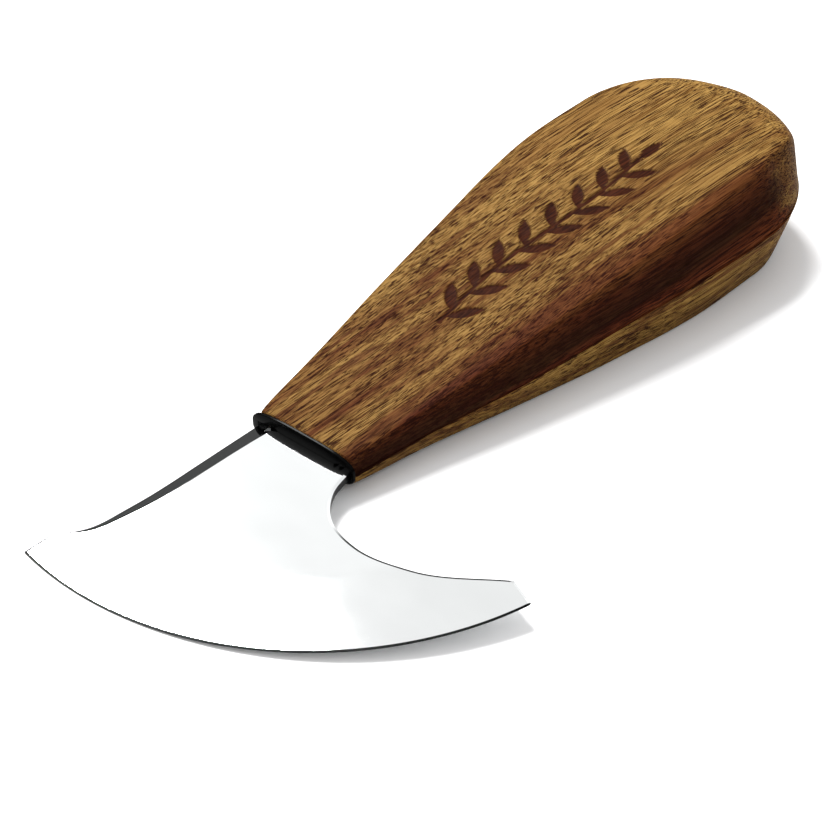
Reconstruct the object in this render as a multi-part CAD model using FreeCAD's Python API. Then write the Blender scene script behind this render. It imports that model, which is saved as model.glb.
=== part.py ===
"""A small leather head knife: a skewed crescent blade in a faceted two-piece wooden handle.

The knife is drawn lying flat in its own knife frame, in millimetres:
    x = 0 is the outer face of the front plate, and x grows towards the butt of the handle
    z = 0 is the middle plane of the blade, where the two handle halves are glued together
    y = 0 is the line down the middle of the handle
It is then set down on a bench, where it rests on its cutting edge and on a flat under its belly.
"""
import FreeCAD
import Part
import math
import os

from FreeCAD import Vector

# --- blade -------------------------------------------------------------------------------------
PLATE_THICKNESS = 1.6          # steel at the neck and tang
EDGE_RADIUS = 54.7             # the cutting edge is one circular arc
EDGE_CENTRE = (10.7, 4.7)      # centre of that arc
EDGE_THICKNESS = 0.16          # steel left at the very edge
GRIND_WIDTH = 15.0             # radial width of the two ground faces
LEFT_TIP = (-43.3, 15.9)
RIGHT_TIP = (-3.8, -47.8)
LEFT_SHOULDER = (-38.6, 15.4)  # a short clipped end joins each shoulder to its tip
RIGHT_SHOULDER = (-2.0, -43.2)
NECK_LEFT = 9.3                # the neck leaves the front plate between these two y values
NECK_RIGHT = -9.6
LEFT_SIDE = [(-12.0, 9.8), (-25.0, 10.6), (-33.5, 12.1)]
RIGHT_THROAT = [(-4.6, -10.7), (-9.3, -14.4), (-11.7, -21.6), (-10.0, -31.0)]
SWAGE_WIDTH = 1.5              # narrow bevel along the upper edge of the left side
SWAGE_DEPTH = 0.3
SWAGE_OVERCUT = 1.0            # how far its cutter reaches beyond the steel

# --- tang, hidden in the handle -------------------------------------------------------------------
TANG_LENGTH = 66.0
TANG_ROOT_HALF_WIDTH = 6.0
TANG_END_HALF_WIDTH = 4.0
TANG_HOLE_RADIUS = 2.2
TANG_HOLES_X = (20.0, 38.0, 56.0)
BEDDING_GAP = 0.35             # resin all round the tang

# --- front plate ----------------------------------------------------------------------------------
FRONT_THICKNESS = 0.5
FRONT_CENTRE_Y = 0.1
FRONT_HALF_WIDTH = 10.6
FRONT_TOP = 3.1                # above the blade's middle plane
FRONT_DROP = 2.8               # below it
FRONT_CORNER_RADIUS = 2.2
FRONT_EDGE_ROUND = 0.15
SLOT_GAP = 0.05                # slot in the plate around the neck
SLOT_OVERCUT = 1.0             # how far its cutter reaches beyond the plate

# --- handle ---------------------------------------------------------------------------------------
HANDLE_LENGTH = 115.0
BUTT_START = 92.0              # the butt rounds off from here to the end
# x, half width at the glue line, half width and height of the top, half width and depth of the belly
STATIONS = [
    (FRONT_THICKNESS, 10.6, 9.0, 3.1, 9.2, 2.8),
    (14.0, 12.5, 10.9, 3.8, 10.7, 4.0),
    (33.0, 16.3, 13.6, 5.5, 13.3, 5.9),
    (55.0, 19.5, 16.0, 7.6, 15.9, 8.1),
    (76.0, 22.4, 17.4, 9.2, 18.6, 10.1),
    (BUTT_START, 23.4, 17.6, 9.5, 19.2, 11.2),
]
BUTT_STEPS = (0.2, 0.4, 0.6, 0.75, 0.88, 1.0)
BUTT_ELLIPSE_CUT = 0.95        # the glue line follows an ellipse, cut off at this share of its length
BUTT_SLOPE = 0.06              # share of the height lost evenly along the butt
BUTT_ROLL_OVER = 0.45          # share lost in the last stretch, where the flats roll over
BUTT_ROLL_POWER = 7            # how late the flats roll over
REST_SLOPE = 0.08              # fall of the bench plane per unit of x, in the knife frame


def edge_reach():
    """Distance from the front plate to the foremost point of the cutting edge."""
    return EDGE_RADIUS - EDGE_CENTRE[0]


def bench_height(x):
    """Height in the knife frame of the bench, which touches the lower side of the cutting edge."""
    return -EDGE_THICKNESS / 2 - REST_SLOPE * (x + edge_reach())


def point(xy, z=0.0):
    return Vector(xy[0], xy[1], z)


def spline(points):
    curve = Part.BSplineCurve()
    curve.interpolate(points)
    return curve.toShape()


def line(start, end):
    return Part.makeLine(start, end)


def slab(wire, thickness):
    """A flat plate of the given thickness, centred on z = 0."""
    plate = Part.Face(wire).extrude(Vector(0, 0, thickness))
    plate.translate(Vector(0, 0, -thickness / 2))
    return plate


# --- blade ------------------------------------------------------------------------------------------
def edge_point(angle):
    """Point of the cutting edge at an angle in degrees, counted from the -x direction."""
    turn = math.radians(180.0 + angle)
    x = EDGE_CENTRE[0] + EDGE_RADIUS * math.cos(turn)
    y = EDGE_CENTRE[1] + EDGE_RADIUS * math.sin(turn)
    return Vector(x, y, 0)


def angle_of(tip):
    """Angle of a tip around the centre of the cutting edge, as edge_point counts it."""
    turn = math.degrees(math.atan2(tip[1] - EDGE_CENTRE[1], tip[0] - EDGE_CENTRE[0]))
    return turn % 360.0 - 180.0


def left_side():
    """Curve of the left side, from the neck to the left shoulder."""
    start = point((0.0, NECK_LEFT))
    via = [point(xy) for xy in LEFT_SIDE]
    return spline([start] + via + [point(LEFT_SHOULDER)])


def blade_outline():
    left_start = edge_point(angle_of(LEFT_TIP))
    right_start = edge_point(angle_of(RIGHT_TIP))
    middle = edge_point((angle_of(LEFT_TIP) + angle_of(RIGHT_TIP)) / 2)
    neck_left = point((0.0, NECK_LEFT))
    neck_right = point((0.0, NECK_RIGHT))
    root_left = point((FRONT_THICKNESS, NECK_LEFT))
    root_right = point((FRONT_THICKNESS, NECK_RIGHT))
    tang_middle = (NECK_LEFT + NECK_RIGHT) / 2
    throat = [point(xy) for xy in RIGHT_THROAT]
    edges = [
        Part.Arc(left_start, middle, right_start).toShape(),
        line(right_start, point(RIGHT_SHOULDER)),
        spline([point(RIGHT_SHOULDER)] + throat[::-1] + [neck_right]),
        line(neck_right, root_right),
        line(root_right, point((FRONT_THICKNESS, tang_middle - TANG_ROOT_HALF_WIDTH))),
        line(
            point((FRONT_THICKNESS, tang_middle - TANG_ROOT_HALF_WIDTH)),
            point((TANG_LENGTH, tang_middle - TANG_END_HALF_WIDTH)),
        ),
        line(
            point((TANG_LENGTH, tang_middle - TANG_END_HALF_WIDTH)),
            point((TANG_LENGTH, tang_middle + TANG_END_HALF_WIDTH)),
        ),
        line(
            point((TANG_LENGTH, tang_middle + TANG_END_HALF_WIDTH)),
            point((FRONT_THICKNESS, tang_middle + TANG_ROOT_HALF_WIDTH)),
        ),
        line(point((FRONT_THICKNESS, tang_middle + TANG_ROOT_HALF_WIDTH)), root_left),
        line(root_left, neck_left),
        left_side(),
        line(point(LEFT_SHOULDER), left_start),
    ]
    return Part.Wire(Part.__sortEdges__(edges))


def grind_envelope():
    """Turned shape that thins the plate towards the cutting edge on both faces."""
    reach = HANDLE_LENGTH + EDGE_RADIUS
    half = PLATE_THICKNESS / 2
    profile = Part.makePolygon([
        Vector(0, 0, -half),
        Vector(EDGE_RADIUS - GRIND_WIDTH, 0, -half),
        Vector(EDGE_RADIUS, 0, -EDGE_THICKNESS / 2),
        Vector(EDGE_RADIUS, 0, EDGE_THICKNESS / 2),
        Vector(EDGE_RADIUS - GRIND_WIDTH, 0, half),
        Vector(0, 0, half),
        Vector(0, 0, -half),
    ])
    disc = Part.Face(profile).revolve(Vector(0, 0, 0), Vector(0, 0, 1), 360)
    disc.translate(point(EDGE_CENTRE))
    behind = Part.makeBox(reach, 2 * EDGE_RADIUS, PLATE_THICKNESS)
    behind.translate(Vector(0, -EDGE_RADIUS, -half))
    return disc, behind


def swage_cutter():
    """Wedge that bevels the upper edge of the left side, following its curve."""
    top = PLATE_THICKNESS / 2
    start = Vector(0.0, NECK_LEFT, top)
    section = Part.makePolygon([
        start + Vector(0, -SWAGE_WIDTH, 0.0),
        start + Vector(0, SWAGE_OVERCUT, -SWAGE_DEPTH * (1.0 + SWAGE_OVERCUT / SWAGE_WIDTH)),
        start + Vector(0, SWAGE_OVERCUT, SWAGE_OVERCUT),
        start + Vector(0, -SWAGE_WIDTH, SWAGE_OVERCUT),
        start + Vector(0, -SWAGE_WIDTH, 0.0),
    ])
    path = Part.Wire([left_side()])
    path.translate(Vector(0, 0, top))
    return path.makePipeShell([section], True, False, 2)


def tang_holes():
    """Holes that key the resin through the tang."""
    middle = (NECK_LEFT + NECK_RIGHT) / 2
    holes = []
    for x in TANG_HOLES_X:
        base = Vector(x, middle, -PLATE_THICKNESS)
        holes.append(Part.makeCylinder(TANG_HOLE_RADIUS, 2 * PLATE_THICKNESS, base))
    return holes


def make_blade():
    plate = slab(blade_outline(), PLATE_THICKNESS)
    disc, behind = grind_envelope()
    front = plate.common(disc)
    back = plate.common(behind)
    blade = front.fuse(back).removeSplitter()
    blade = blade.cut(swage_cutter())
    for hole in tang_holes():
        blade = blade.cut(hole)
    return blade


# --- front plate --------------------------------------------------------------------------------------
def make_front_plate():
    height = FRONT_TOP + FRONT_DROP
    corner = Vector(0, FRONT_CENTRE_Y - FRONT_HALF_WIDTH, -FRONT_DROP)
    plate = Part.makeBox(FRONT_THICKNESS, 2 * FRONT_HALF_WIDTH, height, corner)
    long_edges = [e for e in plate.Edges if abs(e.tangentAt(e.FirstParameter).x) > 0.99]
    plate = plate.makeFillet(FRONT_CORNER_RADIUS, long_edges)
    rim = [e for e in plate.Edges if e.BoundBox.XMax < 0.01]
    plate = plate.makeFillet(FRONT_EDGE_ROUND, rim)
    half = PLATE_THICKNESS / 2 + SLOT_GAP
    slot_start = Vector(-SLOT_OVERCUT, NECK_RIGHT - SLOT_GAP, -half)
    slot_length = FRONT_THICKNESS + 2 * SLOT_OVERCUT
    slot_width = NECK_LEFT - NECK_RIGHT + 2 * SLOT_GAP
    slot = Part.makeBox(slot_length, slot_width, 2 * half, slot_start)
    return plate.cut(slot)


# --- handle -------------------------------------------------------------------------------------------
def butt_station(step):
    """Station in the rounded butt, where step runs from 0 at its start to 1 at the end of the handle."""
    x, half, top_half, top, belly_half, belly = STATIONS[-1]
    side = math.sqrt(1.0 - (BUTT_ELLIPSE_CUT * step) ** 2)
    fall = 1.0 - BUTT_SLOPE * step - BUTT_ROLL_OVER * step ** BUTT_ROLL_POWER
    x += step * (HANDLE_LENGTH - BUTT_START)
    top_half = half * side - (half - top_half) * fall
    belly_half = half * side - (half - belly_half) * fall
    return (x, half * side, top_half, top * fall, belly_half, belly * fall)


def half_section(x, half, flat_half, height):
    """Four-sided section of one handle half: glue line, two sloping sides and the flat."""
    return Part.makePolygon([
        Vector(x, -half, 0),
        Vector(x, -flat_half, height),
        Vector(x, flat_half, height),
        Vector(x, half, 0),
        Vector(x, -half, 0),
    ])


def tang_pocket():
    """Space for the tang and its resin, shared by the two handle halves."""
    middle = (NECK_LEFT + NECK_RIGHT) / 2
    root = TANG_ROOT_HALF_WIDTH + BEDDING_GAP
    end = TANG_END_HALF_WIDTH + BEDDING_GAP
    outline = Part.makePolygon([
        point((FRONT_THICKNESS, middle - root)),
        point((TANG_LENGTH + BEDDING_GAP, middle - end)),
        point((TANG_LENGTH + BEDDING_GAP, middle + end)),
        point((FRONT_THICKNESS, middle + root)),
        point((FRONT_THICKNESS, middle - root)),
    ])
    return slab(outline, PLATE_THICKNESS + 2 * BEDDING_GAP)


def make_upper_half():
    stations = STATIONS + [butt_station(step) for step in BUTT_STEPS]
    sections = [half_section(row[0], row[1], row[2], row[3]) for row in stations]
    return Part.makeLoft(sections, True, False).cut(tang_pocket())


def make_lower_half():
    stations = STATIONS + [butt_station(step) for step in BUTT_STEPS]
    sections = [half_section(row[0], row[1], row[4], -row[5]) for row in stations]
    body = Part.makeLoft(sections, True, False)
    return body.common(above_bench()).cut(tang_pocket())


def above_bench():
    """Block whose lower face is the bench plane; it trims the belly to a rest flat."""
    width = 3 * STATIONS[-1][1]
    profile = Part.makePolygon([
        Vector(0, -width / 2, bench_height(0)),
        Vector(2 * HANDLE_LENGTH, -width / 2, bench_height(2 * HANDLE_LENGTH)),
        Vector(2 * HANDLE_LENGTH, -width / 2, HANDLE_LENGTH),
        Vector(0, -width / 2, HANDLE_LENGTH),
        Vector(0, -width / 2, bench_height(0)),
    ])
    return Part.Face(profile).extrude(Vector(0, width, 0))


def make_tang_bedding(blade):
    """Resin that fills the pocket round the tang and through its holes."""
    return tang_pocket().cut(blade)


# --- assembly -------------------------------------------------------------------------------------------
def set_down(shapes):
    """Lay the knife on the bench and put the origin at the bottom centre of its box."""
    tilt = math.degrees(math.atan(REST_SLOPE))
    for shape in shapes.values():
        shape.rotate(Vector(0, 0, 0), Vector(0, 1, 0), -tilt)
    box = FreeCAD.BoundBox()
    for shape in shapes.values():
        box.add(shape.optimalBoundingBox(False))
    for shape in shapes.values():
        shape.translate(Vector(-box.Center.x, -box.Center.y, -box.ZMin))


def main():
    blade = make_blade()
    shapes = {
        "blade": blade,
        "tang_bedding": make_tang_bedding(blade),
        "front_plate": make_front_plate(),
        "handle_upper_half": make_upper_half(),
        "handle_lower_half": make_lower_half(),
    }
    set_down(shapes)
    os.makedirs("parts", exist_ok=True)
    for name, shape in shapes.items():
        shape.exportStep("parts/" + name + ".step")


main()
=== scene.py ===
import math

import bmesh
import bpy
import numpy as np
from mathutils import Matrix, Vector, geometry


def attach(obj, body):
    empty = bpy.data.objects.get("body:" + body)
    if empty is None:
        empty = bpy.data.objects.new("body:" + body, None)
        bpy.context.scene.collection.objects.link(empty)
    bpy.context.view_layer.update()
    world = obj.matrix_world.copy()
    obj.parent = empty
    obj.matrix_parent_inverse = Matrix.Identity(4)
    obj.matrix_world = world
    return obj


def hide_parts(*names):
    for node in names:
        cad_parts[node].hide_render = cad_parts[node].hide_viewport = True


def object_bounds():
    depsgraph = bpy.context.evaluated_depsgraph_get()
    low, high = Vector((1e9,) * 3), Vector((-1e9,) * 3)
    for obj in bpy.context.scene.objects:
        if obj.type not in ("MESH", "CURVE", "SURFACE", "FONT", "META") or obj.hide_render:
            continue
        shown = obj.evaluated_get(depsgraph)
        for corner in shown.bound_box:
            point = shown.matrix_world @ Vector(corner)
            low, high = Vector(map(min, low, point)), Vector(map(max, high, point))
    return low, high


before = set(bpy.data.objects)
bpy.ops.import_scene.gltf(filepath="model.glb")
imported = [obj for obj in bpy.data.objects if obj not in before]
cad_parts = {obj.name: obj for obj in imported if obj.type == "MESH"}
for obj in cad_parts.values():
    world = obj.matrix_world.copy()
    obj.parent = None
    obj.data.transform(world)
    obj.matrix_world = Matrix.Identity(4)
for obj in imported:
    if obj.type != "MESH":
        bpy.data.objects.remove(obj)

cad_lo, cad_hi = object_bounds()
MM = 0.001
TINY = 1e-9

# --- the knife's measures, the same as in the CAD except for STATIONS -----------------------------
REST_SLOPE = 0.08       # slope of the bench against the blade, when the knife lies down
EDGE_RADIUS = 54.7
EDGE_CENTRE = (10.7, 4.7)
EDGE_HALF = 0.08
BLADE_HALF = 0.8
GRIND_WIDTH = 15.0
LEFT_TIP = (-43.3, 15.9)
RIGHT_TIP = (-3.8, -47.8)
LEFT_SHOULDER = (-38.6, 15.4)
RIGHT_SHOULDER = (-2.0, -43.2)
NECK_LEFT = 9.3
NECK_RIGHT = -9.6
LEFT_SIDE = [(-12.0, 9.8), (-25.0, 10.6), (-33.5, 12.1)]
RIGHT_THROAT = [(-4.6, -10.7), (-9.3, -14.4), (-11.7, -21.6), (-10.0, -31.0)]
FRONT = 0.5             # back of the front plate, where the wood starts
TANG_LENGTH = 66.0
TANG_ROOT = 6.0         # half width of the tang at the front
TANG_END = 4.0          # half width of the tang at its end
TANG_HOLES = (20.0, 38.0, 56.0)
TANG_HOLE_RADIUS = 2.2
BEDDING_GAP = 0.35
BUTT_SLOPE = 0.06
BUTT_START = 92.0
# x, half width at the glue line, half width and height of the top, half width and depth of the
# belly. From x = 33 on, the CAD's top is up to 0.4 and its belly up to 1.5 narrower on each side.
STATIONS = np.array([
    (FRONT, 10.6, 9.0, 3.1, 9.2, 2.8),
    (14.0, 12.5, 10.9, 3.8, 10.7, 4.0),
    (33.0, 16.3, 13.6, 5.5, 13.9, 5.9),
    (55.0, 19.5, 16.1, 7.6, 17.4, 8.1),
    (76.0, 22.4, 17.8, 9.2, 19.8, 10.1),
    (BUTT_START, 23.4, 17.8, 9.5, 19.7, 11.2),
])
WIDEST = STATIONS[-1][1]
REACH = EDGE_RADIUS - EDGE_CENTRE[0]
TILT = math.atan(REST_SLOPE)
BENCH_AT_ZERO = EDGE_HALF + REST_SLOPE * REACH
TANG_MIDDLE = (NECK_LEFT + NECK_RIGHT) / 2

origin = Vector((
    cad_lo.x + (REACH * math.cos(TILT) + EDGE_HALF * math.sin(TILT)) * MM,
    cad_hi.y - WIDEST * MM,
    cad_lo.z + BENCH_AT_ZERO * math.cos(TILT) * MM,
))
KNIFE = Matrix.Translation(origin) @ Matrix.Rotation(-TILT, 4, "Y")


# --- curves and meshes ---------------------------------------------------------------------------
def hermite(knots, values, x, level_end=False):
    """Smooth curve through the values at the knots."""
    knots, values = np.asarray(knots, float), np.asarray(values, float)
    slopes = np.gradient(values, knots)
    if level_end:
        slopes[-1] = 0.0
    i = np.clip(np.searchsorted(knots, x) - 1, 0, len(knots) - 2)
    h = knots[i + 1] - knots[i]
    t = (x - knots[i]) / h
    a = (1 + 2 * t) * (1 - t) ** 2 * values[i] + t * (1 - t) ** 2 * h * slopes[i]
    return a + t * t * (3 - 2 * t) * values[i + 1] + t * t * (t - 1) * h * slopes[i + 1]


def smooth_line(points, count):
    """A smooth curve through plane points, as count points spread evenly along it."""
    points = np.array(points, float)
    steps = np.concatenate([[0.0], np.cumsum(np.hypot(*np.diff(points, axis=0).T))])
    s = np.linspace(0.0, steps[-1], count)
    return np.column_stack([hermite(steps, points[:, 0], s), hermite(steps, points[:, 1], s)])


def loft_faces(rings):
    """Quads from each closed ring of vertex numbers to the next one."""
    faces = []
    for a, b in zip(rings, rings[1:]):
        for k in range(len(a)):
            n = (k + 1) % len(a)
            faces.append((a[k], a[n], b[n], b[k]))
    return faces


def make_object(name, vertices, faces, materials, nodes, weld=1e-3):
    """A mesh object that stands for CAD nodes. Its vertices are given in the knife frame."""
    mesh = bpy.data.meshes.new(name)
    mesh.from_pydata([tuple(v) for v in vertices], [], faces)
    work = bmesh.new()
    work.from_mesh(mesh)
    bmesh.ops.remove_doubles(work, verts=work.verts, dist=weld)
    bmesh.ops.dissolve_degenerate(work, dist=weld / 2, edges=work.edges)
    bmesh.ops.recalc_face_normals(work, faces=work.faces)
    bmesh.ops.scale(work, vec=(MM, MM, MM), verts=work.verts)
    bmesh.ops.transform(work, matrix=KNIFE, verts=work.verts)
    work.to_mesh(mesh)
    work.free()
    piece = add(name, mesh)
    for material in materials:
        mesh.materials.append(material)
    mesh.shade_smooth()
    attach(piece, "root")
    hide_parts(*nodes)
    return piece


def add(name, data):
    made = bpy.data.objects.new(name, data)
    bpy.context.scene.collection.objects.link(made)
    return made


# --- material helpers ----------------------------------------------------------------------------
def linear(red, green, blue):
    """Linear colour from 0-255 screen values."""
    values = [v / 255.0 for v in (red, green, blue)]
    return [v / 12.92 if v <= 0.04045 else ((v + 0.055) / 1.055) ** 2.4 for v in values] + [1.0]


def set_stops(band, stops):
    """Puts places and linear colours into a colour band that starts with two stops."""
    while len(band.elements) < len(stops):
        band.elements.new(0.5)
    for element, (place, colour) in zip(band.elements, stops):
        element.position = place
        element.color = colour


class Shader:
    """A material with a Principled shader and short ways to add nodes."""

    def __init__(self, name):
        self.material = bpy.data.materials.new(name)
        self.material.use_nodes = True
        self.tree = self.material.node_tree
        self.surface = self.tree.nodes["Principled BSDF"]

    def node(self, kind, inputs=(), **settings):
        made = self.tree.nodes.new("ShaderNode" + kind)
        for key, value in settings.items():
            setattr(made, key, value)
        for key, value in dict(inputs).items():
            self.put(made.inputs[key], value)
        return made

    def put(self, socket, value):
        if isinstance(value, bpy.types.NodeSocket):
            self.tree.links.new(value, socket)
        else:
            socket.default_value = value

    def math(self, operation, *values):
        return self.node("Math", enumerate(values), operation=operation).outputs[0]

    def vector_math(self, operation, *values):
        return self.node("VectorMath", enumerate(values), operation=operation).outputs[0]

    def millimetres(self):
        """Position in the knife frame, in millimetres."""
        where = self.node("TexCoord").outputs["Object"]
        where = self.vector_math("SUBTRACT", where, tuple(origin))
        inputs = {"Vector": where, "Angle": TILT}
        where = self.node("VectorRotate", inputs, rotation_type="Y_AXIS").outputs[0]
        return self.vector_math("MULTIPLY", where, (1 / MM,) * 3)

    def noise(self, vector, scale, detail=3.0, roughness=0.5, shift=(0, 0, 0)):
        """Noise with scale as its cycles per unit along x, y and z."""
        inputs = {"Vector": self.vector_math("MULTIPLY_ADD", vector, scale, shift), "Scale": 1.0,
                  "Detail": detail, "Roughness": roughness}
        return self.node("TexNoise", inputs).outputs["Fac"]

    def steps(self, value, low, high):
        """0 below low, 1 above high and smooth between."""
        inputs = {"Value": value, "From Min": low, "From Max": high}
        made = self.node("MapRange", inputs, interpolation_type="SMOOTHSTEP")
        return made.outputs["Result"]

    def ramp(self, value, stops):
        made = self.node("ValToRGB", {"Fac": value})
        set_stops(made.color_ramp, [(place, linear(*colour)) for place, colour in stops])
        return made.outputs["Color"]

    def mix(self, factor, a, b, blend="MIX"):
        made = self.node("Mix", data_type="RGBA", blend_type=blend)
        self.put(made.inputs[0], factor)
        self.put(made.inputs[6], a)
        self.put(made.inputs[7], b)
        return made.outputs[2]

    def bump(self, height, distance, strength):
        """Relief with distance as its depth in metres."""
        made = self.node("Bump", {"Height": height, "Distance": distance, "Strength": strength})
        self.put(self.surface.inputs["Normal"], made.outputs[0])

    def set(self, **values):
        for key, value in values.items():
            self.put(self.surface.inputs[key.replace("_", " ")], value)


# --- wood ----------------------------------------------------------------------------------------
OILED_IOR = 1.12        # low, because the oiled wood hardly shines
OILED_SHINE = 0.15
GRAIN_DRIFT = 0.07      # the grain runs this much across the handle per unit of length
GRAIN_WANDER = 3.0      # and wanders by up to about half of this to each side
# cycles per millimetre of each noise, along the grain and across it
WANDER = (0.011, 0.05, 0.05)
BROAD_BANDS = (0.0035, 0.15, 0.15)
STREAKS = (0.006, 0.62, 0.62)
FIBRES = (0.022, 4.0, 4.0)
PORE_CROWDS = (0.02, 0.35, 0.35)
PORES = (0.13, 5.6, 5.6)
SHAKES = (0.02, 0.4, 0.4)
TOP_BANDS = [(0.0, (80, 44, 22)), (0.22, (104, 70, 36)), (0.45, (125, 94, 50)),
             (0.7, (136, 105, 57)), (1.0, (110, 80, 41))]
LOW_BANDS = [(0.0, (86, 45, 23)), (0.25, (112, 77, 37)), (0.5, (134, 101, 50)),
             (0.75, (144, 112, 58)), (1.0, (116, 82, 40))]
FIBRE_TONES = [(0.0, (150, 126, 104)), (1.0, (255, 255, 255))]
HEART_TONES = [(0.0, (96, 48, 24)), (0.22, (78, 34, 19)), (0.40, (36, 13, 9)),
               (0.58, (42, 16, 10)), (0.78, (72, 34, 19)), (1.0, (90, 52, 27))]
STREAK_COLOUR = linear(78, 40, 20)
PALE_COLOUR = linear(172, 138, 76)
PORE_COLOUR = linear(34, 13, 8)
CHAR_COLOURS = (linear(26, 10, 6), linear(62, 30, 16))
# the wood gets paler towards the butt and the far side, between these values of x + PALER_TURN * y
PALER = (45.0, 130.0)
PALER_TURN = 1.6
# the heartwood fades out between these values of y + HEART_TURN * x, and between these of x
HEART_BORDER = (-9.4, -7.4)
HEART_TURN = 0.085
HEART_END = (101.0, 109.0)
HEART_RAGGED = 14.0     # how ragged its end is
# its tones run over this height, from a foot that goes down as the handle gets taller
HEART_HEIGHT = 9.0
HEART_FOOT = 4.0
HEART_FALL = -0.045


def walnut(name, bands, seed, upper):
    """Oiled walnut-like wood with streaks, fibres and pores that run along x through the piece.

    The upper half also has the dark heartwood and the burnt ornament."""
    s = Shader(name)
    where = s.millimetres()
    split = s.node("SeparateXYZ", {0: where}).outputs
    wander = s.math("SUBTRACT", s.noise(where, WANDER, 2.0, 0.5, (seed, 0, 0)), 0.5)
    across = s.math("MULTIPLY_ADD", split[0], GRAIN_DRIFT, split[1])
    across = s.math("ADD", across, s.math("MULTIPLY", wander, GRAIN_WANDER))
    grain = s.node("CombineXYZ", {0: split[0], 1: across, 2: split[2]}).outputs[0]

    broad = s.noise(grain, BROAD_BANDS, 4.0, 0.62, (seed, 3, 1))
    colour = s.ramp(s.steps(broad, 0.28, 0.74), bands)
    streak = s.noise(grain, STREAKS, 3.0, 0.6, (seed, 7, 2))
    colour = s.mix(s.math("MULTIPLY", s.steps(streak, 0.51, 0.63), 0.75), colour, STREAK_COLOUR)
    paler = s.steps(s.math("MULTIPLY_ADD", split[1], PALER_TURN, split[0]), *PALER)
    colour = s.mix(s.math("MULTIPLY", paler, 0.4), colour, PALE_COLOUR)
    if upper:
        colour = heart_side(s, split, grain, colour, seed)
    fibre = s.noise(grain, FIBRES, 5.0, 0.7, (seed, 1, 5))
    tone = s.ramp(s.steps(fibre, 0.32, 0.62), FIBRE_TONES)
    colour = s.mix(1.0, colour, tone, "MULTIPLY")

    crowd = s.noise(grain, PORE_CROWDS, 2.0, 0.5, (seed, 4, 4))
    pore = s.noise(grain, PORES, 2.0, 0.5, (seed, 2, 8))
    pores = s.steps(s.math("MULTIPLY_ADD", crowd, 0.2, pore), 0.635, 0.67)
    colour = s.mix(s.math("MULTIPLY", pores, 0.92), colour, PORE_COLOUR)
    if upper:
        burn = s.node("Attribute", attribute_name="burn").outputs["Fac"]
        colour = s.mix(burn, colour, s.mix(s.steps(fibre, 0.35, 0.65), *CHAR_COLOURS))
    rough = s.math("MULTIPLY_ADD", fibre, 0.18, s.math("MULTIPLY_ADD", pores, 0.25, 0.38))
    s.set(Base_Color=colour, Roughness=rough, IOR=OILED_IOR, Specular_IOR_Level=OILED_SHINE)
    s.bump(s.math("SUBTRACT", s.math("MULTIPLY", fibre, 0.35), pores), 0.00006, 0.7)
    return s.material


def heart_side(s, split, grain, colour, seed):
    """Dark heartwood along the near side of the upper half."""
    shake = s.noise(grain, SHAKES, 3.0, 0.6, (seed, 9, 1))
    shift = s.math("SUBTRACT", shake, 0.5)
    rise = s.math("ADD", s.math("MULTIPLY_ADD", split[0], HEART_FALL, split[2]), HEART_FOOT)
    rise = s.math("ADD", s.math("MULTIPLY", shift, 3.0), rise)
    tones = s.ramp(s.math("DIVIDE", rise, HEART_HEIGHT), HEART_TONES)
    side = s.math("MULTIPLY_ADD", shift, 5.0, split[1])
    border = s.math("MULTIPLY_ADD", split[0], HEART_TURN, side)
    within = s.math("SUBTRACT", 1.0, s.steps(border, *HEART_BORDER))
    end = s.steps(s.math("MULTIPLY_ADD", shake, HEART_RAGGED, split[0]), *HEART_END)
    ahead = s.math("SUBTRACT", 1.0, s.math("MULTIPLY", end, 0.9))
    share = s.math("MULTIPLY", s.math("MULTIPLY", within, ahead), 0.94)
    return s.mix(share, colour, tones)


# --- steel, lacquer and resin --------------------------------------------------------------------
LACQUER_IOR = 1.12
LACQUER_SHINE = 0.3


def steel(name, tint, roughness, relief):
    """Steel with faint polishing lines and uneven gloss."""
    s = Shader(name)
    where = s.millimetres()
    scratch = s.noise(where, (0.5, 9.0, 9.0), 3.0, 0.6)
    smear = s.noise(where, (0.08, 0.05, 0.08), 3.0, 0.6)
    paler = [min(255, v + 8) for v in tint]
    s.set(
        Metallic=1.0,
        Base_Color=s.mix(smear, linear(*tint), linear(*paler)),
        Roughness=s.math("MULTIPLY_ADD", smear, roughness, roughness / 2))
    s.bump(scratch, relief, 0.6)
    return s.material


def black_gloss():
    s = Shader("black_gloss_lacquer")
    ripple = s.noise(s.millimetres(), (1.2, 1.2, 1.2), 3.0, 0.55)
    s.set(
        Base_Color=s.mix(ripple, linear(2, 2, 2), linear(7, 7, 7)),
        Roughness=s.math("MULTIPLY_ADD", ripple, 0.12, 0.12),
        IOR=LACQUER_IOR,
        Specular_IOR_Level=LACQUER_SHINE)
    s.bump(ripple, 0.00003, 0.4)
    return s.material


def resin():
    s = Shader("black_resin_bedding")
    cloud = s.noise(s.millimetres(), (0.7, 0.7, 0.7), 4.0, 0.6)
    s.set(
        Base_Color=s.mix(cloud, linear(14, 13, 12), linear(30, 28, 26)),
        Roughness=s.math("MULTIPLY_ADD", cloud, 0.3, 0.35))
    s.bump(cloud, 0.00005, 0.5)
    return s.material


wood_top = walnut("walnut_top", TOP_BANDS, 11.0, True)
wood_low = walnut("walnut_belly", LOW_BANDS, 47.0, False)
mirror_steel = steel("mirror_steel", (238, 240, 240), 0.05, 0.000004)
# the near-black tint is painted shade and painted dark reflection for the blade's walls, tang and
# last bevel
painted_edge_shade_steel = steel("steel_with_painted_edge_shade", (16, 17, 17), 0.3, 0.00002)


# --- handle --------------------------------------------------------------------------------------
BUTT_LENGTH = 24.4
PLAN_POWER = 1.89       # the butt is close to half an ellipse in plan
ROLL_POWER = 9          # how late the top and the belly roll over towards the end of the butt
ROLL_SHAPE = 0.38
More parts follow.
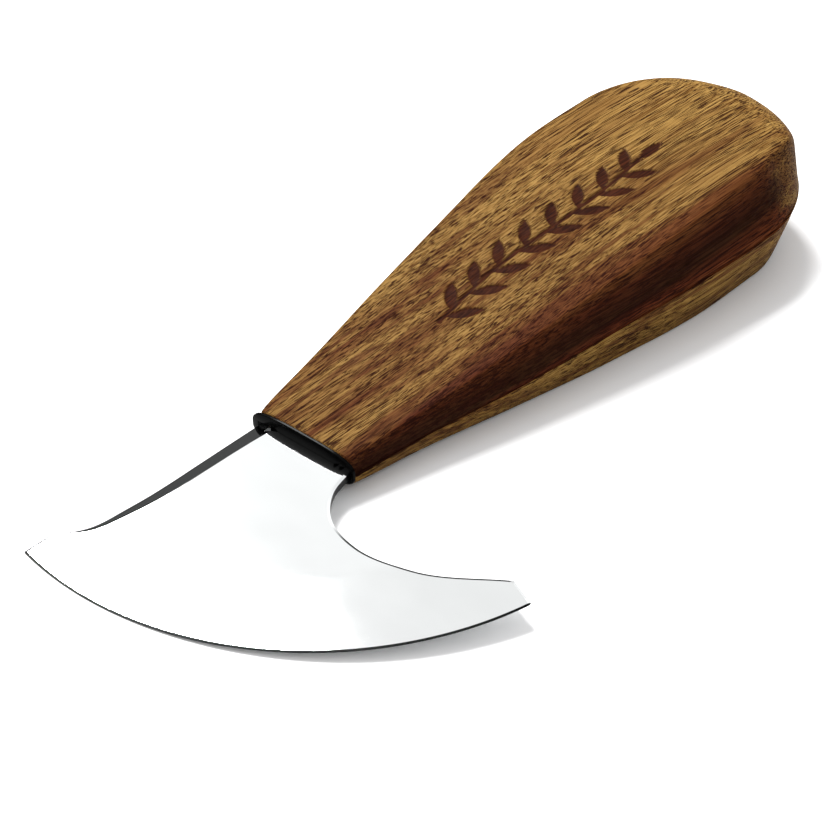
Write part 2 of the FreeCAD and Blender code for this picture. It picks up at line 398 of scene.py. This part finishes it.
# how the near sloping side dies out into the round of the butt: from x, to x, power, share lost
NEAR_SIDE_ENDS = (99.0, 111.0, 1.3, 0.9)
# x, how much narrower the far sloping side is than the near one
FAR_SIDE_FULLER = (
    (14.0, 0.0), (33.0, 0.0), (50.0, 0.15), (68.0, 0.7), (82.0, 0.75), (BUTT_START, 0.35))
POCKET_DEPTH = BLADE_HALF + BEDDING_GAP
POCKET_END = TANG_LENGTH + BEDDING_GAP
CROWN = 0.18            # the top falls this much towards its edges
CROWN_HEIGHT = 5.0      # and less than that where the top is lower than this
END_BREAK = 0.15        # broken edge at the front end of the wood
LEAST_FLAT = 0.35       # least half width of a flat, as a share of the half width
LEAST_SIZE = 1e-4
FLAT_CROWDING = 0.425 * math.pi     # crowds the points of a flat towards its edges
GLUE_LINE_BREAK = 0.005             # share of the width lost at the glue line
GLUE_LINE_RISE = 0.35               # and how far up it is felt
# x, sharpness of the edges between the facets
SHARPNESS = (
    (FRONT, 8.0), (9.0, 30.0), (33.0, 60.0), (76.0, 56.0), (92.0, 48.0), (104.0, 60.0),
    (115.0, 60.0))
WOOD_SHARP_ANGLE = math.radians(38)
# sections of the body and of the butt, points on a sloping side and on a flat
TOP_COUNTS = (400, 90, 46, 150)
LOW_COUNTS = (260, 80, 42, 70)


def roundness(step):
    return (1.0 - np.minimum(step, 1.0) ** PLAN_POWER) ** (1.0 / PLAN_POWER)


def butt_step(x):
    return min(max(0.0, (x - BUTT_START) / BUTT_LENGTH), 1.0)


def side_share(x, ends):
    """Share of a sloping side's width that is left at x."""
    start, end, power, lost = ends
    return 1.0 - lost * min(max((x - start) / (end - start), 0.0), 1.0) ** power


def section_at(x):
    """Half width at the glue line, inset and height of the top, inset and depth of the belly."""
    place = min(x, BUTT_START)
    row = [float(hermite(STATIONS[:, 0], STATIONS[:, k], place, True)) for k in range(1, 6)]
    half, top_half, top, belly_half, belly = row
    top_in, belly_in = half - top_half, half - belly_half
    half *= float(roundness(butt_step(x)))
    belly = min(belly, BENCH_AT_ZERO + REST_SLOPE * x)
    if x <= FRONT + 1e-6:
        half, top, belly = half - END_BREAK, top - END_BREAK, belly - END_BREAK
    return half, top_in, top, belly_in, belly


def roll_over(x, y):
    """Share of the full height left at a point of the butt: each line along it ends by itself."""
    step = butt_step(x)
    if step == 0.0:
        return np.ones_like(y)
    end = roundness(np.minimum(np.abs(y) / WIDEST, 0.9999))
    late = np.minimum(step / end, 1.0)
    return (1.0 - BUTT_SLOPE * step) * (1.0 - late ** ROLL_POWER) ** ROLL_SHAPE


def flat_reach(x, turn, height, bow, flat_half, limit):
    """Distance from the middle of a section to its top or belly, for each direction."""
    c, s = np.cos(turn), np.maximum(np.sin(turn), TINY)
    low = np.zeros_like(turn)
    high = np.minimum(height / s, limit / np.maximum(np.abs(c), TINY))
    for _ in range(26):
        r = (low + high) / 2
        y = r * c
        rise = (height - bow * np.clip(y / flat_half, -1, 1) ** 2) * roll_over(x, y)
        outside = r * s > rise
        high = np.where(outside, r, high)
        low = np.where(outside, low, r)
    return np.maximum((low + high) / 2, 1e-6)


def directions(half, flat, tall, facet_count, flat_count):
    """Directions from the middle of a section, over its far side, its flat and its near side."""
    k = np.sin(np.linspace(1.0, -1.0, flat_count) * FLAT_CROWDING) / math.sin(FLAT_CROWDING)
    u = (1.0 - np.cos(np.linspace(0.0, math.pi, facet_count))) / 2
    y = np.concatenate([half + (flat - half) * u[:-1], k * flat, -flat + (flat - half) * u[1:]])
    z = np.concatenate([tall * u[:-1], np.full(flat_count, tall), tall * (1 - u[1:])])
    return np.arctan2(z, y)


def ring(x, upper, facet_count, flat_count):
    """Points of one cross section of a handle half, from its far edge over to its near edge."""
    half, top_in, top, belly_in, belly = section_at(x)
    inset, height = (top_in, top) if upper else (belly_in, belly)
    far, near, bow = inset, inset, 0.0
    if upper:
        place = np.clip(x, FAR_SIDE_FULLER[0][0], BUTT_START)
        far -= float(hermite(*zip(*FAR_SIDE_FULLER), place))
        near *= side_share(x, NEAR_SIDE_ENDS)
        bow = CROWN * min(1.0, height / CROWN_HEIGHT)
    half = max(half, LEAST_SIZE)
    flat = max(half - inset, LEAST_FLAT * half)
    tall = max(height * float(roll_over(x, np.array([0.0]))[0]), LEAST_SIZE)
    turn = directions(half, flat, tall, facet_count, flat_count)
    c, s = np.cos(turn), np.sin(turn)
    slope = np.where(c > 0, far, near)
    reach = [
        flat_reach(x, turn, height, bow, flat, half),
        half * height / np.maximum(height * np.abs(c) + slope * s, TINY),
    ]
    sharp = float(np.interp(x, *zip(*SHARPNESS)))
    nearest = np.maximum(np.minimum(*reach), 1e-6)
    r = nearest * sum((np.maximum(v, 1e-6) / nearest) ** -sharp for v in reach) ** (-1.0 / sharp)
    y, z = r * c, r * s
    y[0], y[-1] = half, -half
    z[0] = z[-1] = 0.0
    return y * (1.0 - GLUE_LINE_BREAK * np.exp(-(z / GLUE_LINE_RISE) ** 2)), z


# the burnt ornament: a wavy stem with pairs of leaves, and one leaf at its end
ORNAMENT_DEPTH = 0.25
ORNAMENT_ENDS = (30.0, 92.0)
ORNAMENT_HALF = 8.0
ORNAMENT_HEIGHT = 3.0           # everything burnt is higher than this
STEM_ENDS = (32.0, 84.0)
STEM_HALF = 0.42
STEM_SWING = 0.9
STEM_WAVE = 56.0
LEAF_PAIRS = 8
LEAF_START = 33.5
LEAF_STEP = 6.3
LEAF_STAGGER = 1.8              # the far leaf of a pair starts this much later
LEAF_ANGLE = math.radians(38.0)
LEAF_REACH = 3.6                # from the stem to the middle of a leaf
LEAF_SIZE = (3.3, 1.1)          # half length and half width
END_LEAF_MIDDLE = 87.0
END_LEAF_SIZE = (3.2, 1.05)
BURN_BLUR = 0.16
UNBURNT = -9.0


def leaf(u, v, length, width):
    """Above 0 inside a pointed leaf that lies along u."""
    return width * (1.0 - (u / length) ** 2) - np.abs(v)


def stem_at(x):
    return STEM_SWING * math.sin((x - STEM_ENDS[0]) / STEM_WAVE * 2 * math.pi)


def ornament(x, y):
    """How deep a plain sprig of leaves is burnt in at a point of the top, from 0 to 1."""
    on_stem = STEM_ENDS[0] < x < STEM_ENDS[1]
    depth = np.where(on_stem, STEM_HALF - np.abs(y - stem_at(x)), UNBURNT)
    for i in range(LEAF_PAIRS):
        for side in (-1, 1):
            start = LEAF_START + LEAF_STEP * i + (LEAF_STAGGER if side > 0 else 0.0)
            c, s = math.cos(side * LEAF_ANGLE), math.sin(side * LEAF_ANGLE)
            dx, dy = x - start, y - stem_at(start)
            u, v = dx * c + dy * s - LEAF_REACH, -dx * s + dy * c
            depth = np.maximum(depth, leaf(u, v, *LEAF_SIZE))
    u, v = x - END_LEAF_MIDDLE, y - stem_at(STEM_ENDS[1])
    depth = np.maximum(depth, leaf(u, v, *END_LEAF_SIZE))
    return np.clip(depth / BURN_BLUR + 0.5, 0.0, 1.0)


def station_xs(count, butt_count):
    """The x of each cross section. The end of the pocket comes twice, for its step."""
    body = np.linspace(FRONT + END_BREAK, BUTT_START, count)
    turn = np.linspace(0.0, math.pi / 2, butt_count)[1:]
    butt = BUTT_START + BUTT_LENGTH * np.sin(turn)
    ahead, behind = body[body < POCKET_END], body[body > POCKET_END]
    return [FRONT, *ahead, POCKET_END, POCKET_END, *behind, *butt]


def glue_face(x, half, in_pocket):
    """The part of a section along the glue face, with the pocket for the tang."""
    wide = TANG_ROOT + BEDDING_GAP + (TANG_END - TANG_ROOT) * (x - FRONT) / (POCKET_END - FRONT)
    middle, deep = TANG_MIDDLE, POCKET_DEPTH
    if not in_pocket:
        wide, middle, deep = min(wide, 0.4 * half), 0.0, 0.0
    near, far = middle - wide, middle + wide
    return [(near, 0.0), (near, deep), (far, deep), (far, 0.0)]


def make_half(name, upper, counts, material, node):
    count, butt_count, facet_count, flat_count = counts
    sign = 1.0 if upper else -1.0
    vertices, rings = [], []
    in_pocket, before = True, None
    for x in station_xs(count, butt_count):
        if before == POCKET_END:
            in_pocket = False
        before = x
        y, z = ring(x, upper, facet_count, flat_count)
        if upper and ORNAMENT_ENDS[0] < x < ORNAMENT_ENDS[1]:
            z = z - ORNAMENT_DEPTH * np.where(z > 0.6 * z.max(), ornament(x, y), 0.0)
        start = len(vertices)
        section = [*zip(y, z), *glue_face(x, abs(y[0]), in_pocket)]
        vertices += [(x, a, sign * b) for a, b in section]
        rings.append(range(start, len(vertices)))
    faces = [*loft_faces(rings), tuple(rings[0])]
    piece = make_object(name, vertices, faces, [material], [node])
    piece.data.set_sharp_from_angle(angle=WOOD_SHARP_ANGLE)
    if upper:
        mark_burn(piece.data)


def mark_burn(mesh):
    """Writes how deep the ornament is burnt at each vertex of the top."""
    co = np.zeros(len(mesh.vertices) * 3)
    mesh.vertices.foreach_get("co", co)
    back = np.array(KNIFE.inverted())
    co = (co.reshape(-1, 3) @ back[:3, :3].T + back[:3, 3]) / MM
    burn = np.zeros(len(co))
    for i, (x, y, z) in enumerate(co):
        along = ORNAMENT_ENDS[0] < x < ORNAMENT_ENDS[1]
        if along and z > ORNAMENT_HEIGHT and abs(y) < ORNAMENT_HALF:
            burn[i] = float(ornament(x, np.array([y]))[0])
    mesh.attributes.new("burn", "FLOAT", "POINT").data.foreach_set("value", burn)


make_half("walnut_top_half", True, TOP_COUNTS, wood_top, "handle_upper_half")
make_half("walnut_belly_half", False, LOW_COUNTS, wood_low, "handle_lower_half")


# --- blade ---------------------------------------------------------------------------------------
# x, width of the hand-finished bevel along the left side
BEVEL = (
    (-37.5, 0.02), (-33.0, 1.1), (-26.0, 2.0), (-16.0, 2.5), (-8.0, 2.7), (-4.0, 2.9), (0.0, 3.2))
BEVEL_SLOPE = 0.3
RIM_WIDTH = 0.45        # broken edge along the throat and the two clipped ends
RIM_SLOPE = 0.35
EDGE_LINE = 0.32        # width of the last bevel at the cutting edge
EDGE_LINE_RISE = 0.06   # how much thicker each half of the blade is where that bevel starts
EDGE_LINE_TRIM = 0.004  # the line of that bevel stops this angle short of the tips
EDGE_POINTS = 240
END_POINTS = 26
HOLE_POINTS = 36
GRID_STEP = 1.1
GRID_GAP = 0.5          # least distance from a point of the grid to a line
WALL_NORMAL = 0.85      # a face with a lower z in its normal is a wall
STEEL_SHARP_ANGLE = math.radians(7)


def angle_of(tip):
    turn = math.atan2(tip[1] - EDGE_CENTRE[1], tip[0] - EDGE_CENTRE[0])
    return turn % (2 * math.pi)


LEFT_ANGLE, RIGHT_ANGLE = angle_of(LEFT_TIP), angle_of(RIGHT_TIP)


def arc(radius, start, end, count):
    turn = np.linspace(start, end, count)
    return np.column_stack([
        EDGE_CENTRE[0] + radius * np.cos(turn), EDGE_CENTRE[1] + radius * np.sin(turn)])


def inside(points, loop):
    """Which of the points lie inside a closed loop."""
    result = np.zeros(len(points), bool)
    for (x0, y0), (x1, y1) in zip(loop, np.roll(loop, -1, axis=0)):
        if y0 == y1:
            continue
        crosses = (points[:, 1] < y0) != (points[:, 1] < y1)
        at = x0 + (points[:, 1] - y0) / (y1 - y0) * (x1 - x0)
        result ^= crosses & (points[:, 0] < at)
    return result


def distance_to(points, curve):
    """Distance from each point to the nearest point of a finely divided curve, and its x."""
    off = points[:, None] - curve[None]
    gap = np.hypot(off[..., 0], off[..., 1])
    nearest = gap.argmin(1)
    return gap[np.arange(len(points)), nearest], curve[nearest, 0]


def inset_line(line, distance):
    """A line moved sideways by distance, towards its left."""
    along = np.gradient(line, axis=0)
    sideways = np.column_stack([-along[:, 1], along[:, 0]]) / np.hypot(*along.T)[:, None]
    return line + sideways * distance


left_curve = smooth_line([(0.0, NECK_LEFT)] + LEFT_SIDE + [LEFT_SHOULDER], 400)
left_line = left_curve[::4]
throat_line = smooth_line([RIGHT_SHOULDER] + RIGHT_THROAT[::-1] + [(0.0, NECK_RIGHT)], 200)
right_end = np.linspace(RIGHT_TIP, RIGHT_SHOULDER, END_POINTS)
left_end = np.linspace(LEFT_SHOULDER, LEFT_TIP, END_POINTS)
rims = (throat_line, right_end, left_end)


def blade_outline():
    root_right, root_left = TANG_MIDDLE - TANG_ROOT, TANG_MIDDLE + TANG_ROOT
    end_right, end_left = TANG_MIDDLE - TANG_END, TANG_MIDDLE + TANG_END
    runs = [
        arc(EDGE_RADIUS, LEFT_ANGLE, RIGHT_ANGLE, EDGE_POINTS),
        right_end,
        throat_line,
        np.linspace((0.0, NECK_RIGHT), (FRONT, NECK_RIGHT), 4),
        np.linspace((FRONT, NECK_RIGHT), (FRONT, root_right), 4),
        np.linspace((FRONT, root_right), (TANG_LENGTH, end_right), 40),
        np.linspace((TANG_LENGTH, end_right), (TANG_LENGTH, end_left), 6),
        np.linspace((TANG_LENGTH, end_left), (FRONT, root_left), 40),
        np.linspace((FRONT, root_left), (FRONT, NECK_LEFT), 4),
        np.linspace((FRONT, NECK_LEFT), (0.0, NECK_LEFT), 4),
        left_line,
        left_end,
    ]
    return np.concatenate([run[:-1] for run in runs])


def edge_distance(x, y):
    """Distance from the centre of the cutting edge's arc."""
    return np.hypot(x - EDGE_CENTRE[0], y - EDGE_CENTRE[1])


def half_thickness(points):
    ground = np.interp(
        edge_distance(*points.T),
        [EDGE_RADIUS - GRIND_WIDTH, EDGE_RADIUS - EDGE_LINE, EDGE_RADIUS],
        [BLADE_HALF, EDGE_HALF + EDGE_LINE_RISE, EDGE_HALF])
    return np.where(points[:, 0] > 0, BLADE_HALF, ground)


def bevel_drop(points):
    """How far the left bevel takes the upper face down."""
    gap, along = distance_to(points, left_curve)
    width = np.interp(along, *zip(*BEVEL))
    drop = np.clip(width - gap, 0.0, None) * BEVEL_SLOPE
    return np.where(points[:, 0] > 0.02, 0.0, drop)


def rim_drop(points):
    """How far the broken edge round the sides takes the faces in."""
    gap, _ = distance_to(points, np.concatenate(rims))
    drop = np.clip(RIM_WIDTH - gap, 0.0, None) * RIM_SLOPE
    return drop * np.clip(-points[:, 0] / 0.4, 0.0, 1.0)


def fold_lines():
    """The lines inside the outline where a bevel or a broken edge starts."""
    lines = [inset_line(line, RIM_WIDTH)[3:-3] for line in rims]
    start, end = LEFT_ANGLE + EDGE_LINE_TRIM, RIGHT_ANGLE - EDGE_LINE_TRIM
    lines.append(arc(EDGE_RADIUS - EDGE_LINE, start, end, EDGE_POINTS))
    width = np.interp(left_line[:, 0], *zip(*BEVEL))
    keep = (width > 0.1) & (left_line[:, 0] < -0.05)
    for share in (0.5, 1.0):
        lines.append(inset_line(left_line, width[:, None] * share)[keep])
    return lines


def blade_triangles():
    """Plane points of the blade and the triangles between them, without the holes in the tang."""
    outline = blade_outline()
    turn = np.linspace(0, 2 * math.pi, HOLE_POINTS + 1)[:-1]
    circle = TANG_HOLE_RADIUS * np.column_stack([np.cos(turn), np.sin(turn)])
    rows = [(outline, True)]
    rows += [(line, False) for line in fold_lines()]
    rows += [(circle + (x, TANG_MIDDLE), True) for x in TANG_HOLES]
    grid = np.meshgrid(
        np.arange(-45, TANG_LENGTH + 1, GRID_STEP), np.arange(-49, 17, GRID_STEP))
    grid = np.stack(grid, -1).reshape(-1, 2)
    grid = grid[inside(grid, outline)]
    gap, _ = distance_to(grid, np.concatenate([row for row, _ in rows]))
    points, edges = [], []
    for row, closed in rows:
        start = len(points)
        points += [Vector(p) for p in row]
        edges += [(start + i, start + i + 1) for i in range(len(row) - 1)]
        if closed:
            edges.append((len(points) - 1, start))
    points += [Vector(p) for p in grid[gap > GRID_GAP]]
    flat, _, triangles, *_ = geometry.delaunay_2d_cdt(points, edges, [], 1, 1e-5)
    flat = np.array([tuple(p) for p in flat])
    middles = flat[np.array(triangles)].mean(1)
    holes = np.zeros(len(middles), bool)
    for x in TANG_HOLES:
        off = np.hypot(middles[:, 0] - x, middles[:, 1] - TANG_MIDDLE)
        holes |= off < TANG_HOLE_RADIUS * 0.98
    return flat, [tuple(t) for t, hole in zip(triangles, holes) if not hole]


def make_blade():
    flat, triangles = blade_triangles()
    half = half_thickness(flat)
    rim = np.minimum(rim_drop(flat), half * 0.8)
    upper = np.column_stack([flat, half - np.maximum(bevel_drop(flat), rim)])
    lower = np.column_stack([flat, rim - half])
    size = len(flat)
    sides = [side for t in triangles for side in zip(t, t[1:] + t[:1])]
    known = set(sides)
    faces = triangles + [tuple(size + i for i in t[::-1]) for t in triangles]
    faces += [(b, a, size + a, size + b) for a, b in sides if (b, a) not in known]
    blade = make_object(
        "mirror_blade", np.concatenate([upper, lower]), faces, [mirror_steel, painted_edge_shade_steel],
        ["blade"], 1e-4)
    paint_edge_shade(blade.data)
    blade.data.set_sharp_from_angle(angle=STEEL_SHARP_ANGLE)


def paint_edge_shade(mesh):
    """Gives the second material, steel painted near-black as painted shade and painted dark
    reflections, to the walls, the tang and the last bevel of the cutting edge.
    """
    back = KNIFE.inverted()
    for face in mesh.polygons:
        x, y, _ = (back @ face.center) / MM
        on_bevel = x < 0 and edge_distance(x, y) > EDGE_RADIUS - EDGE_LINE * 0.98
        if abs(face.normal.z) < WALL_NORMAL or x > -0.02 or on_bevel:
            face.material_index = 1


make_blade()


# --- front plate and bedding ---------------------------------------------------------------------
PLATE_HALF = 10.5
PLATE_CENTRE = 0.1
PLATE_TOP = 3.0
PLATE_DROP = 2.75
PLATE_SHARPNESS = 3.2
SLOT_SHARPNESS = 80.0
SLOT_GAP = 0.05
PLATE_SHARP_ANGLE = math.radians(50)
# x and how far in from the outline, from the back of the plate to its front face
PLATE_EDGE = ((FRONT, 0.0), (0.14, 0.0), (0.05, 0.04), (0.0, 0.14))


def rounded_ring(x, left, right, top, drop, turn, sharp):
    """A rounded rectangle around the middle of the blade, one point for each direction."""
    c, s = np.cos(turn), np.sin(turn)
    wide = np.where(c > 0, left, right) / np.maximum(np.abs(c), TINY)
    tall = np.where(s > 0, top, drop) / np.maximum(np.abs(s), TINY)
    r = (wide ** -sharp + tall ** -sharp) ** (-1.0 / sharp)
    return [(x, a, b) for a, b in zip(r * c, r * s)]


def plate_directions():
    """Directions all round the plate, in four like quarters that meet at its corners."""
    corner = math.atan2(PLATE_TOP, PLATE_HALF)
    low, high = np.linspace(0, corner, 15), np.linspace(corner, math.pi / 2, 22)
    quarter = np.concatenate([low[:-1], high[:-1]])
    flipped = math.pi - quarter[::-1]
    turn = np.concatenate([quarter, [math.pi / 2], flipped[:-1], [math.pi]])
    return np.unique(np.concatenate([turn, 2 * math.pi - turn[1:-1]]))


def make_front_plate():
    turn = plate_directions()
    vertices = []
    for x, inset in PLATE_EDGE:
        left = PLATE_HALF + PLATE_CENTRE - inset
        right = PLATE_HALF - PLATE_CENTRE - inset
        top, drop = PLATE_TOP - inset, PLATE_DROP - inset
        vertices += rounded_ring(x, left, right, top, drop, turn, PLATE_SHARPNESS)
    slot = BLADE_HALF + SLOT_GAP
    left, right = NECK_LEFT + SLOT_GAP, SLOT_GAP - NECK_RIGHT
    for x in (0.0, FRONT):
        vertices += rounded_ring(x, left, right, slot, slot, turn, SLOT_SHARPNESS)
    rings = [range(i, i + len(turn)) for i in range(0, len(vertices), len(turn))]
    plate = make_object(
        "lacquered_front_plate", vertices, loft_faces(rings + rings[:1]), [black_gloss()],
        ["front_plate"])
    plate.data.set_sharp_from_angle(angle=PLATE_SHARP_ANGLE)


def repaint(node, material):
    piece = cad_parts[node]
    piece.data.materials.clear()
    piece.data.materials.append(material)


make_front_plate()
repaint("tang_bedding", resin())


# --- floor, light and camera ---------------------------------------------------------------------
FLOOR_HALF = 3.0        # metres
FLOOR_GAP = 0.00002     # metres
SKY = 0.97
# sine of the elevation and brightness: a bright studio dome that darkens towards the horizon
SKY_STOPS = ((0.0, 0.06), (0.34, 0.08), (0.46, 1.45), (0.8, 0.95), (1.0, 0.85))
VIEW_AZIMUTH = -50.54
VIEW_ELEVATION = 36.37
VIEW_ROLL = -2.36
VIEW_DISTANCE = 411.8 * MM
VIEW_AIM = Vector((-12.9 * MM, 9.9 * MM, 0.0))      # from the middle of the knife's box, on the floor
LENS = 113.9


def towards(azimuth, elevation):
    """Unit vector from the knife towards azimuth and elevation, in degrees."""
    a, e = math.radians(azimuth), math.radians(elevation)
    return Vector((math.sin(a) * math.cos(e), -math.cos(a) * math.cos(e), math.sin(e)))


def make_floor():
    mesh = bpy.data.meshes.new("floor")
    far, level = FLOOR_HALF, cad_lo.z - FLOOR_GAP
    corners = [(-far, -far, level), (far, -far, level), (far, far, level), (-far, far, level)]
    mesh.from_pydata(corners, [], [(0, 1, 2, 3)])
    floor = add("floor", mesh)
    s = Shader("pale_paper")
    mottle = s.noise(s.node("TexCoord").outputs["Object"], (30, 30, 30), 4.0, 0.5)
    paper = s.mix(mottle, linear(238, 238, 239), linear(243, 243, 243))
    s.set(Base_Color=paper, Roughness=0.7, Specular_IOR_Level=0.15)
    mesh.materials.append(s.material)


def make_sky():
    world = bpy.data.worlds.new("studio")
    bpy.context.scene.world = world
    world.use_nodes = True
    tree = world.node_tree
    coord = tree.nodes.new("ShaderNodeTexCoord")
    split = tree.nodes.new("ShaderNodeSeparateXYZ")
    ramp = tree.nodes.new("ShaderNodeValToRGB")
    background = tree.nodes["Background"]
    set_stops(ramp.color_ramp, [(place, (v, v, v, 1.0)) for place, v in SKY_STOPS])
    background.inputs["Strength"].default_value = SKY
    tree.links.new(coord.outputs["Generated"], split.inputs[0])
    tree.links.new(split.outputs[2], ramp.inputs[0])
    tree.links.new(ramp.outputs[0], background.inputs["Color"])


def make_lamp(name, azimuth, elevation, distance, size, power):
    """A square softbox that looks at the knife."""
    light = bpy.data.lights.new(name, "AREA")
    light.shape = "SQUARE"
    light.size = size
    light.energy = power
    lamp = add(name, light)
    away = towards(azimuth, elevation)
    lamp.location = away * distance
    lamp.rotation_mode = "QUATERNION"
    lamp.rotation_quaternion = (-away).to_track_quat("-Z", "Y")


def make_camera():
    data = bpy.data.cameras.new("camera")
    data.lens = LENS
    data.clip_start = 0.01
    data.clip_end = 20.0
    camera = add("camera", data)
    back = towards(VIEW_AZIMUTH, VIEW_ELEVATION)
    roll = math.radians(VIEW_ROLL)
    level = (Vector((0, 0, 1)) - back * back.z).normalized()
    right = (-back).cross(level)
    up = level * math.cos(roll) + right * math.sin(roll)
    side = (-back).cross(up)
    middle = (cad_lo + cad_hi) / 2
    aim = Vector((middle.x, middle.y, cad_lo.z)) + VIEW_AIM
    turn = Matrix((side, up, back)).transposed().to_4x4()
    camera.matrix_world = Matrix.Translation(aim + back * VIEW_DISTANCE) @ turn
    bpy.context.scene.camera = camera


make_floor()
make_sky()
make_lamp("key", azimuth=160.0, elevation=55.0, distance=1.2, size=0.4, power=24.0)
make_camera()
bpy.context.scene.view_settings.view_transform = "Standard"
